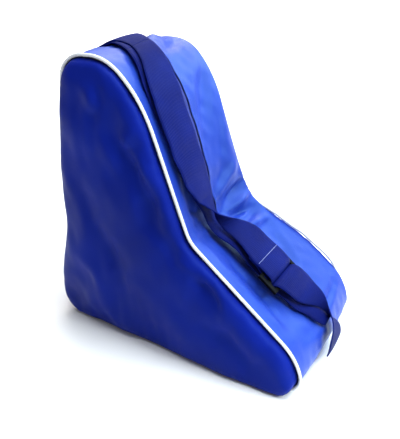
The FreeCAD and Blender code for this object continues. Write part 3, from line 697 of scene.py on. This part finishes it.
# side panels: stuffed cloth that bulges, folds and sags to the floor
panelShape = {
    "inset": 0.0030,          # the cloth meets the seam inside the piping
    "bulge": 0.024, "roundness": 0.42, "lowFullness": 0.30, "floorSag": 0.008,
    "heelSlack": 0.42, "slackReach": 0.07, "sagReach": 0.045,
    "mostOut": 0.1230,        # no cloth stands further out than this
    "rimWidth": 0.030, "lowRim": 0.014, "rimShare": 0.45, "lowShare": 0.35, "lowReach": 0.06,
    "toeward": (-0.10, 0.12), # x where the panel turns from slack to full
    "softRim": 0.022, "leastRise": 0.0006,
    "swellPlace": 0.012, "swellWidth": 0.011, "swellStart": 0.006,
    "overhang": 0.0055,       # the stuffed cloth swells past its seam at the back and the base
    "grid": 0.0040, "edgeStep": 0.0030, "thickness": 0.0012,
    "foldGain": 1.5, "broad": 0.0022, "fine": 0.0004,
    # folds: from x, z to x, z, half width and height; they run slantwise down from the shin
    "folds": [
        (-0.105, 0.350, -0.070, 0.270, 0.011, 0.0030), (-0.070, 0.300, -0.010, 0.190, 0.013, -0.0045),
        (-0.045, 0.285, 0.035, 0.150, 0.010, 0.0050), (-0.015, 0.190, 0.080, 0.085, 0.014, -0.0040),
        (0.000, 0.215, 0.030, 0.175, 0.006, 0.0035), (0.030, 0.150, 0.105, 0.100, 0.007, 0.0030),
        (0.050, 0.128, 0.085, 0.100, 0.005, -0.0030), (-0.110, 0.180, -0.060, 0.080, 0.016, -0.0035),
        (-0.150, 0.240, -0.120, 0.120, 0.012, 0.0030), (-0.060, 0.110, 0.040, 0.045, 0.015, 0.0030),
        (-0.130, 0.120, -0.090, 0.040, 0.010, 0.0035), (0.060, 0.070, 0.130, 0.040, 0.012, -0.0030),
        (-0.080, 0.345, -0.090, 0.310, 0.007, -0.0030), (-0.030, 0.310, -0.050, 0.285, 0.006, 0.0030),
    ],
}


def relaxDome(mask, passes):
    # an evenly pressed membrane held at the mask's edge
    height = np.zeros(mask.shape)
    for _ in range(passes):
        beside = np.roll(height, 1, 0) + np.roll(height, -1, 0)
        spread = (beside + np.roll(height, 1, 1) + np.roll(height, -1, 1)) / 4
        height = np.where(mask, spread + 1, 0)
    return height / height.max()


def insidePolygon(x, z, loopX, loopZ):
    inside = np.zeros(x.shape, bool)
    for k in range(len(loopX)):
        j = k - 1
        crosses = (loopZ[k] > z) != (loopZ[j] > z)
        with np.errstate(divide="ignore", invalid="ignore"):
            edgeX = (loopX[j] - loopX[k]) * (z - loopZ[k]) / (loopZ[j] - loopZ[k]) + loopX[k]
        inside ^= crosses & (x < edgeX)
    return inside


def foldHeight(x, z):
    total = np.zeros(x.shape)
    for x1, z1, x2, z2, halfWide, height in panelShape["folds"]:
        length = math.hypot(x2 - x1, z2 - z1)
        ux, uz = (x2 - x1) / length, (z2 - z1) / length
        along = ((x - x1) * ux + (z - z1) * uz) / length
        bow = 0.10 * length * np.sin(np.clip(along, 0, 1) * math.pi)
        off = -(x - x1) * uz + (z - z1) * ux - bow
        reach = step(along, -0.25, 0.3) * (1 - step(along, 0.7, 1.25))
        total = total + height * reach * np.exp(-(off / halfWide) ** 2)
    return total * panelShape["foldGain"]


def makePanel(sideName, sideSign):
    shape = panelShape
    runs = np.linspace(0, outlineLength, int(outlineLength / shape["edgeStep"]), endpoint=False)
    edgeX, edgeZ = onOutline(runs, -shape["inset"])
    grid = shape["grid"]
    xs = np.arange(edgeX.min(), edgeX.max() + grid, grid)
    zs = np.arange(edgeZ.min(), edgeZ.max() + grid, grid)
    gx, gz = np.meshgrid(xs, zs, indexing="ij")
    inside = insidePolygon(gx, gz, edgeX, edgeZ)
    away = np.sqrt(np.min((gx[..., None] - edgeX) ** 2 + (gz[..., None] - edgeZ) ** 2, axis=-1))
    dome = relaxDome(inside, 2500)
    keep = inside & (away > grid * 0.6)
    innerX, innerZ = gx[keep], gz[keep]
    points2d = [Vector(pair) for pair in zip(edgeX, edgeZ)] + [Vector(pair) for pair in zip(innerX, innerZ)]
    border = [(k, (k + 1) % len(runs)) for k in range(len(runs))]
    found = delaunay_2d_cdt(points2d, border, [], 1, 1e-7)
    flat = np.array([(v.x, v.y) for v in found[0]])
    faces = [tuple(face) for face in found[2]]
    # height over the seam's plane, by interpolating the dome at each point
    fx = np.clip((flat[:, 0] - xs[0]) / grid, 0, len(xs) - 1.001)
    fz = np.clip((flat[:, 1] - zs[0]) / grid, 0, len(zs) - 1.001)
    ix, iz = fx.astype(int), fz.astype(int)
    tx, tz = fx - ix, fz - iz
    level = (dome[ix, iz] * (1 - tx) * (1 - tz) + dome[ix + 1, iz] * tx * (1 - tz)
             + dome[ix, iz + 1] * (1 - tx) * tz + dome[ix + 1, iz + 1] * tx * tz)
    nearest = np.array([np.argmin((edgeX - x) ** 2 + (edgeZ - z) ** 2) for x, z in flat])
    gap = np.sqrt((edgeX[nearest] - flat[:, 0]) ** 2 + (edgeZ[nearest] - flat[:, 1]) ** 2)
    rim = gap < 1e-5
    level = np.where(rim, 0, np.maximum(level, 0))
    x, z = flat[:, 0], flat[:, 1]
    toeward = step(x, *shape["toeward"])
    lowDown = np.exp(-z / shape["lowReach"]) * toeward
    near = np.clip(gap / (shape["rimWidth"] - shape["lowRim"] * lowDown), 0, 1)
    steep = np.sqrt(near * (2 - near))
    share = shape["rimShare"] + shape["lowShare"] * lowDown
    fullness = (1 - share) * level ** shape["roundness"] + share * steep
    low = 1 - z / bagHeight
    height = shape["bulge"] * fullness * (1 - shape["lowFullness"] / 2 + shape["lowFullness"] * low)
    height = height * (1 - shape["heelSlack"] * np.exp(-z / shape["slackReach"]) * (1 - toeward))
    soften = np.clip(gap / shape["softRim"], 0, 1)
    broadNoise, fineNoise = softNoise(8, 0.05, 0.13), softNoise(14, 0.012, 0.03)
    height = height + soften * (foldHeight(x, z) + shape["broad"] * broadNoise(x, z))
    height = height + soften * shape["fine"] * fineNoise(x, z)
    height = np.where(rim, 0, np.maximum(height, shape["leastRise"]))
    sag = shape["floorSag"] * fullness * np.exp(-z / shape["sagReach"])
    around = runs[nearest]
    swell = np.where(rim, 0, bump(gap, shape["swellPlace"], shape["swellWidth"]))
    swell = shape["overhang"] * swell * np.clip(gap / shape["swellStart"], 0, 1)
    swell = swell * (step(around, runAt(backTop), runAt(back + 0.1)) + 0.8 * (around < runAt(toe)))
    x = x + swell * np.interp(around, outlineRun, outlineNormals[:, 0])
    z = z + swell * np.interp(around, outlineRun, outlineNormals[:, 1])
    seam = seamY(runs, sideSign)[nearest]
    room = shape["mostOut"] - np.abs(seam)
    height = np.where(height > room * 0.6, room * (1 - 0.4 * np.exp(-(height / room - 0.6) / 0.4)), height)
    newZ = np.maximum(z - sag, shape["thickness"])
    points = np.stack([x, seam + sideSign * height, newZ], axis=-1)
    faces = [face if facing(points, face, sideSign) else face[::-1] for face in faces]
    piece = makePiece("side_panel_" + sideName, points, faces, [sideNylon, lining], flat)
    thicken(piece, shape["thickness"], -1.0, 1)
    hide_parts(sideName + "_side_panel")
    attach(piece, "shell")
    return piece


def facing(points, face, sideSign):
    a, b, c = (points[k] for k in face[:3])
    return ((b[2] - a[2]) * (c[0] - a[0]) - (b[0] - a[0]) * (c[2] - a[2])) * sideSign > 0


for sideName, sideSign in (("left", -1), ("right", 1)):
    makePanel(sideName, sideSign)
print("side panels ready")


# piping and the binding inside it
pipingShape = {
    "radius": 0.0021, "lift": 0.0006, "step": 0.0025, "sides": 12,
    "wobble": 0.0004, "pucker": 0.00015, "puckerPitch": 0.0045,
    # the right piping sinks under the cloth, and comes up only along the instep
    "sunk": 0.0032, "proud": 0.0024, "comesUp": (0.395, 0.42), "goesDown": (0.52, 0.56),
    "flatEnd": 0.04,          # the wobble fades out where the loop closes
    "floorGap": 0.0004,
}
bindingShape = {"rows": 240, "inner": 0.011, "outer": 0.0035, "depth": 0.0034, "thick": 0.0010}


def makePiping(sideName, sideSign):
    shape = pipingShape
    runs = np.linspace(0, outlineLength, int(outlineLength / shape["step"]), endpoint=False)
    wander = softNoise(5, 0.04, 0.12, 1)
    rows = []
    for run in runs:
        fade = step(run, 0.005, shape["flatEnd"])
        fade = fade * (1 - step(run, outlineLength - shape["flatEnd"], outlineLength - 0.005))
        shift = shape["wobble"] * float(wander(run)) * fade
        lift = shape["lift"] + shift
        if sideSign > 0:
            shown = step(run, *shape["comesUp"]) * (1 - step(run, *shape["goesDown"]))
            lift = lift - shape["sunk"] * (1 - shown) + shape["proud"] * shown
        centre = onBag(run, seamY(run, sideSign) + sideSign * shift, lift)
        centre[2] = max(centre[2], shape["radius"] + shape["floorGap"])
        ahead = onBag(run + 0.001, seamY(run, sideSign), lift)
        along = (ahead - onBag(run, seamY(run, sideSign), lift)) / 0.001
        along /= np.linalg.norm(along)
        across = np.array([0.0, 1.0, 0.0])
        out = np.cross(along, across)
        radius = shape["radius"] + shape["pucker"] * math.sin(run / shape["puckerPitch"] * 2 * math.pi)
        for j in range(shape["sides"]):
            angle = 2 * math.pi * j / shape["sides"]
            rows.append(centre + (across * math.cos(angle) + out * math.sin(angle)) * radius)
    count = len(runs)
    faces = gridFaces(count, shape["sides"], closed=True)
    for j in range(shape["sides"]):
        k = (j + 1) % shape["sides"]
        faces.append(((count - 1) * shape["sides"] + j, (count - 1) * shape["sides"] + k, k, j))
    piece = makePiece("piping_" + sideName, rows, faces, vinyl)
    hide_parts(sideName + "_piping")
    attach(piece, "shell")
    # binding over the raw edges, inside
    around = np.linspace(0, outlineLength, bindingShape["rows"], endpoint=False)
    around = np.append(around, outlineLength - 1e-6)
    seam = np.array([seamY(r, sideSign) for r in around])
    edges = (seam - sideSign * bindingShape["inner"], seam - sideSign * bindingShape["outer"])

    def insideLift(run, y):
        return np.minimum(gussetLift(run, y), 0) - bindingShape["depth"]

    binding = bandPiece("seam_binding_" + sideName, around, edges, bindingCloth, insideLift,
                        bindingShape["thick"], 0.0, 5, 0)
    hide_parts(sideName + "_seam_binding")
    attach(binding, "shell")


for sideName, sideSign in (("left", -1), ("right", 1)):
    makePiping(sideName, sideSign)
print("piping ready")


# strap
glideLow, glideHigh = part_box("tri_glide")
glideMiddle = (glideLow + glideHigh) / 2
strapShape = {
    "half": 0.030, "thick": 0.0018, "columns": 15, "rowStep": 0.002,
    "flat": 0.42,             # how far the webbing stands up where it turns over
    "curl": 0.0010, "anchorLift": 0.0022, "patchHeight": 0.034,
    "bendLayer": 0.0025,      # half the distance between the two legs at the bend
    "bendBlend": (-0.006, 0.010), "adjusterFollow": (0.66, 0.52), "turnFollow": (0.395, 0.440),
    # the webbing's route: length along the outline, place across, lift over the cloth,
    # width as part of the full one, twist in degrees
    "glideLeg": [
        (0.4640, -0.0160, 0.0125, 1.0, 0), (0.4655, -0.0160, 0.0160, 1.0, 0),
        (0.4675, -0.0160, 0.0184, 1.0, 0), (0.4860, -0.0160, 0.0185, 1.0, 0),
        (0.4980, -0.0150, 0.0165, 1.0, 0), (0.514, -0.0120, 0.0140, 0.94, 0),
        (0.528, -0.0110, 0.0130, 0.82, 10), (0.545, -0.0140, 0.0130, 0.62, 38),
        (0.562, -0.0210, 0.0130, 0.56, 70), (0.575, -0.0275, 0.0130, 0.56, 92),
        (0.590, -0.0320, 0.0130, 0.62, 125), (0.610, -0.0400, 0.0135, 0.80, 155),
        (0.635, -0.0480, 0.0135, 0.92, 174), (0.670, -0.0505, 0.0130, 0.96, 180),
        (0.725, -0.0520, 0.0120, 0.96, 180), (0.750, -0.0480, 0.0110, 0.94, 184),
        (0.775, -0.0400, 0.0092, 0.84, 190), (0.795, -0.0310, 0.0076, 0.68, 196),
        (0.815, -0.0210, 0.0062, 0.60, 197), (0.840, -0.0080, 0.0056, 0.75, 190),
        (0.870, -0.0070, 0.0058, 0.95, 182), (0.920, -0.0150, 0.0080, 1.0, 180),
    ],
    "returnLeg": [
        (0.376, 0.0060, 0.0052, 0.40, 0), (0.390, 0.0020, 0.0050, 0.62, 0),
        (0.420, -0.0060, 0.0045, 0.80, 0), (0.450, -0.0120, 0.0045, 0.92, 0),
        (0.500, -0.0170, 0.0045, 0.85, 0), (0.540, -0.0200, 0.0045, 0.62, -6),
        (0.570, -0.0260, 0.0042, 0.42, -8), (0.590, -0.0250, 0.0045, 0.50, -6),
        (0.620, -0.0300, 0.0050, 0.80, -4), (0.650, -0.0360, 0.0052, 0.95, 0),
        (0.700, -0.0460, 0.0052, 1.0, 0), (0.740, -0.0480, 0.0050, 1.0, 0),
        (0.765, -0.0430, 0.0046, 1.0, 0), (0.790, -0.0330, 0.0042, 0.96, 0),
        (0.815, -0.0220, 0.0038, 0.92, 0), (0.845, -0.0060, 0.0034, 0.94, 0),
        (0.870, -0.0070, 0.0034, 1.0, 0), (0.920, -0.0150, 0.0040, 1.0, 0),
    ],
    "runningLeg": [
        (0.348, 0.0030, 0.0110, 0.90, 180), (0.356, 0.0035, 0.0092, 0.84, 177),
        (0.365, 0.0050, 0.0080, 0.68, 164), (0.375, 0.0080, 0.0075, 0.44, 130),
        (0.386, 0.0110, 0.0075, 0.28, 96), (0.398, 0.0100, 0.0085, 0.40, 58),
        (0.410, 0.0060, 0.0095, 0.64, 26), (0.425, 0.0000, 0.0120, 0.88, 8),
        (0.440, -0.0070, 0.0155, 0.98, 0), (0.449, -0.0120, 0.0184, 1.0, 0),
        (0.4570, -0.0150, 0.0184, 1.0, 0), (0.4600, -0.0155, 0.0160, 1.0, 0),
        (0.4630, -0.0160, 0.0118, 1.0, 0),
    ],
    "flatRuns": (0.440, 0.520),          # where the glide holds the webbing off the sagging cloth
}


def ribbonTable(rows, first, last):
    # evenly spaced, smoothed values of a leg between two lengths along the outline
    table = np.array(rows)
    runs = spaced(first, last, strapShape["rowStep"])
    values = [smoothed(np.interp(runs, table[:, 0], table[:, k]), 4) for k in range(1, 5)]
    return runs, values


def ribbonPiece(name, centres, outs, halves, twists):
    # a flat webbing swept along centres; a twist turns it about its own line
    shape = strapShape
    part = np.linspace(-1, 1, shape["columns"])
    across = np.array([0.0, 1.0, 0.0])
    points, uvs = [], []
    distance = 0.0
    for k in range(len(centres)):
        if k:
            distance += np.linalg.norm(centres[k] - centres[k - 1])
        turn = math.radians(twists[k])
        way = across * math.cos(turn) + outs[k] * math.sin(turn) * shape["flat"]
        rise = abs(math.sin(turn)) * shape["flat"] * halves[k] * 0.92
        for u in part:
            curl = shape["curl"] * (1 - u * u)
            raised = outs[k] * rise + way * (u * halves[k]) + outs[k] * curl * abs(math.cos(turn))
            points.append(centres[k] + raised)
            uvs.append((distance, u * shape["half"]))
    piece = makePiece(name, points, gridFaces(len(centres), shape["columns"]), webbing, uvs)
    thicken(piece, shape["thick"], 0.0, 0)
    return piece


def legOnBag(rows, first, last):
    runs, (y, lift, width, twist) = ribbonTable(rows, first, last)
    low, high = strapShape["flatRuns"]
    follow = 1 - step(runs, low - 0.03, low) * (1 - step(runs, high, high + 0.04))
    x, z = onOutline(runs, lift + np.maximum(smoothed(gussetLift(runs, y), 12), -0.010) * follow)
    centres = np.stack([x, y, z], axis=-1)
    return centres, width * strapShape["half"], twist


def finishLeg(name, centres, halves, twists):
    alongs = np.gradient(centres, axis=0)
    alongs /= np.linalg.norm(alongs, axis=1)[:, None]
    outs = np.cross(np.array([0.0, 1.0, 0.0]), alongs)
    outs /= np.linalg.norm(outs, axis=1)[:, None]
    return ribbonPiece(name, centres, outs, halves, twists)


bendX, bendZ = strapBend[0], strapBend[2]


def backLeg(rows, bendPlace, foot, drop, split):
    # close over the top, off to the bend behind the bag, then down and in to its stitched end
    leave = runAt(back) - 0.004
    runs, (y, lift, width, twist) = ribbonTable(rows, split, leave)
    x, z = onOutline(runs, lift + np.maximum(smoothed(gussetLift(runs, y), 12), -0.010))
    centres = list(np.stack([x, y, z], axis=-1))
    widths, turns = list(width), list(twist)
    start, way = centres[-1], centres[-1] - centres[-3]
    reach = np.array([bendPlace, strapY, bendZ]) - start
    pull = np.linalg.norm(reach)
    way = way / np.linalg.norm(way) * pull
    last = np.array([0, 0, -1.0]) * pull
    settle = round(twist[-1] / 180) * 180
    for k in range(1, 25):
        t = k / 24
        h1, h2, h3 = t ** 3 - 2 * t ** 2 + t, 3 * t ** 2 - 2 * t ** 3, t ** 3 - t ** 2
        centres.append(start + reach * h2 + way * h1 + last * h3)
        widths.append(width[-1] + (1 - width[-1]) * t)
        turns.append(twist[-1] + (settle - twist[-1]) * t)
    low = foot - drop
    for k in range(1, 61):
        height = bendZ + (low - bendZ) * k / 60
        ease = step(k / 60, 0.10, 0.80)
        wall = backX(height) - strapShape["anchorLift"]
        centres.append(np.array([bendPlace * (1 - ease) + wall * ease, strapY, height]))
        widths.append(1.0)
        turns.append(settle)
    centres = np.array(centres)
    for axis in range(3):
        centres[:, axis] = smoothed(centres[:, axis], 4)
    return centres, np.array(widths) * strapShape["half"], np.array(turns)


strapLow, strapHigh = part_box("strap_heel_leg")
strapY = (strapLow.y + strapHigh.y) / 2


def backX(z):
    # the cloth's place behind the bag at a height
    run = np.linspace(runAt(back), runAt(heel), 400)
    x, height = onOutline(run, gussetLift(run, strapY))
    return float(np.interp(-z, -height, x))


def makeRear(name, node, rows, bendPlace, split):
    # the leg from over the top to its stitched end, soft at the bend behind the bag
    patch = strapShape["patchHeight"]
    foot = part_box(node)[0].z + patch
    piece = finishLeg(name, *backLeg(rows, bendPlace, foot, patch, split))
    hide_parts(node)
    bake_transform(piece)


def followAdjuster(piece):
    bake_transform(piece)


def makeStrap():
    shape = strapShape
    split = runAt(frontTop + 0.55)
    # glide leg, baked in place
    rows = shape["glideLeg"]
    front = finishLeg("strap_glide_leg", *legOnBag(rows, rows[0][0], split))
    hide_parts("strap_sewn_leg")
    followAdjuster(front)
    makeRear("strap_heel_leg_cloth", "strap_heel_leg", rows, bendX - shape["bendLayer"], split)
    # return leg, close to the cloth
    rows = shape["returnLeg"]
    front = finishLeg("strap_return_leg_cloth", *legOnBag(rows, rows[0][0], split))
    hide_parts("strap_return_leg")
    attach(front, "strap")
    makeRear("strap_anchor_leg_cloth", "strap_anchor_leg", rows, bendX + shape["bendLayer"], split)
    # running leg, from under the glide down to the turn at the toe
    rows = shape["runningLeg"]
    running = finishLeg("strap_running_leg_cloth", *legOnBag(rows, rows[0][0], rows[-1][0]))
    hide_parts("strap_running_leg", "strap_toe_turn")
    followAdjuster(running)


makeStrap()


hemShape = {
    "first": 0.004, "last": 0.040, "rows": 24, "width": 0.985,
    "under": 0.0019, "foldDepth": 0.0034, "foldEnds": (0.016, 0.028),
    "stitchRow": 0.026, "stitches": 30, "pitch": 0.0019, "stitchLift": 0.0022,
    "stitchSize": (0.0016, 0.0007, 0.0005),
}


def makeHem():
    # the webbing's folded end under the glide leg: round the middle bar, then stitched to the leg
    shape = hemShape
    frontRun = np.linspace(runAt(instep), runAt(ankle), 500)
    x, z = onOutline(frontRun)
    glideRun = float(frontRun[np.argmin((x - glideMiddle.x) ** 2 + (z - glideMiddle.z) ** 2)])
    table = np.array(strapShape["glideLeg"])
    runs = glideRun + np.linspace(shape["first"], shape["last"], shape["rows"])
    y = np.interp(runs, table[:, 0], table[:, 1])
    legLift = np.interp(runs, table[:, 0], table[:, 2])
    fold = 1 - step(runs, glideRun + shape["foldEnds"][0], glideRun + shape["foldEnds"][1])
    lowLift = legLift - shape["under"] - shape["foldDepth"] * fold
    x, z = onOutline(runs, lowLift)
    centres = np.stack([x, y, z], axis=-1)
    halves = np.full(len(runs), strapShape["half"] * shape["width"])
    piece = finishLeg("strap_hem_cloth", centres, halves, np.zeros(len(runs)))
    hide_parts("strap_hem")
    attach(piece, "adjuster")
    # a row of pale stitches holds the fold
    stitches = []
    run = glideRun + shape["stitchRow"]
    for k in range(shape["stitches"]):
        offset = (k - (shape["stitches"] - 1) / 2) * shape["pitch"]
        y = float(np.interp(run, table[:, 0], table[:, 1])) + offset
        lift = float(np.interp(run, table[:, 0], table[:, 2])) + shape["stitchLift"]
        centre, along, across, out = frameOnBag(run, y, lift)
        stitches.append(bead(centre, across, along, out, *shape["stitchSize"]))
    rowPiece = joinBeads("strap_hem_stitches", stitches, paleThread)
    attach(rowPiece, "adjuster")


makeHem()


anchorShape = {
    "bottom": 0.004, "tall": 0.026, "half": 0.025, "pitch": 0.0042, "stand": 0.0030,
    "stitchSize": (0.0030, 0.0008, 0.0007),
}


def makeAnchorStitches():
    # a boxed cross of stitches on each end of the strap, on the back
    shape = anchorShape
    lean = math.radians(bagShape["backLean"])
    out = np.array([-math.cos(lean), 0, math.sin(lean)])
    for name, node in (("heel", "strap_heel_leg"), ("top", "strap_anchor_leg")):
        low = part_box(node)[0]
        bottom, tall, half = low.z + shape["bottom"], shape["tall"], shape["half"]
        corners = [(-half, 0), (half, 0), (half, tall), (-half, tall), (-half, 0), (half, tall)]
        lines = list(zip(corners[:-1], corners[1:])) + [((half, 0), (-half, tall))]
        stitches = []
        for (y1, z1), (y2, z2) in lines:
            length = math.hypot(y2 - y1, z2 - z1)
            for k in range(int(length / shape["pitch"])):
                t = (k + 0.5) * shape["pitch"] / length
                y, z = y1 + (y2 - y1) * t, bottom + z1 + (z2 - z1) * t
                along = np.array([(z2 - z1) * math.sin(lean), y2 - y1, (z2 - z1) * math.cos(lean)])
                along /= np.linalg.norm(along)
                centre = np.array([backX(z) - shape["stand"], strapY + y, z])
                stitches.append(bead(centre, along, np.cross(along, out), out, *shape["stitchSize"]))
        piece = joinBeads("anchor_stitches_" + name, stitches, paleThread)
        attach(piece, "shell")


makeAnchorStitches()
print("strap ready")

# CAD nodes that stay, with their own finishes
keptNodes = {
    "tri_glide": glidePlastic, "zip_slider": enamel, "zip_pull": enamel, "zip_back_stop": enamel,
    "zip_toe_stop": enamel, "base_board": boardSheet, "top_anchor_patch": bindingCloth,
    "heel_anchor_patch": bindingCloth,
}
for name, material in keptNodes.items():
    node = frame["nodes"][name]
    for slot in node.material_slots:
        slot.material = material
    if not node.material_slots:
        node.data.materials.append(material)

# floor, light, camera
studio = {
    "floorSize": 30.0, "worldColour": (0.95, 0.96, 1.0), "worldStrength": 0.24,
    "azimuth": 30.3, "pitch": 26.5, "eye": (0.3355, -0.586, 0.490), "lens": 44.36,
}
floorHalf, floorZ = studio["floorSize"] / 2, -0.0002
corners = [(x * floorHalf, y * floorHalf, floorZ) for x, y in ((-1, -1), (1, -1), (1, 1), (-1, 1))]
floor = makePiece("floor", corners, [(0, 1, 2, 3)], floorPaper)

world = bpy.data.worlds.new("studio")
bpy.context.scene.world = world
world.use_nodes = True
world.node_tree.nodes["Background"].inputs["Color"].default_value = (*studio["worldColour"], 1)
world.node_tree.nodes["Background"].inputs["Strength"].default_value = studio["worldStrength"]


def addLight(name, place, target, width, height, watts, colour=(1, 1, 1)):
    data = bpy.data.lights.new(name, "AREA")
    data.shape = "RECTANGLE"
    data.size, data.size_y, data.energy = width, height, watts
    data.color = colour
    light = bpy.data.objects.new(name, data)
    bpy.context.scene.collection.objects.link(light)
    light.location = place
    light.rotation_mode = "QUATERNION"
    light.rotation_quaternion = (Vector(target) - Vector(place)).to_track_quat("-Z", "Y")


addLight("back_soft", (0.9, 1.9, 1.5), (0, 0, 0.2), 2.0, 1.6, 60, (0.62, 0.84, 1.0))
addLight("right_soft", (2.0, 0.25, 1.6), (0.05, 0, 0.15), 0.9, 0.9, 52, (0.80, 0.92, 1.0))
addLight("top_soft", (0.45, 0.10, 2.3), (0, 0, 0), 1.6, 1.6, 66, (0.85, 0.94, 1.0))
addLight("floor_wash", (-2.2, 3.5, 3.2), (-2.6, 4.2, 0), 4.0, 4.0, 420)

cameraData = bpy.data.cameras.new("camera")
cameraData.lens = studio["lens"]
cameraData.sensor_width = 36
cameraData.clip_start, cameraData.clip_end = 0.05, 20
camera = bpy.data.objects.new("camera", cameraData)
bpy.context.scene.collection.objects.link(camera)
azimuth, pitch = math.radians(studio["azimuth"]), math.radians(studio["pitch"])
level = Vector((-math.sin(azimuth), math.cos(azimuth), 0))
forward = level * math.cos(pitch) - Vector((0, 0, math.sin(pitch)))
camera.location = studio["eye"]
camera.rotation_mode = "QUATERNION"
camera.rotation_quaternion = forward.to_track_quat("-Z", "Y")
bpy.context.scene.camera = camera
bpy.context.scene.view_settings.view_transform = "Standard"
print("studio ready")
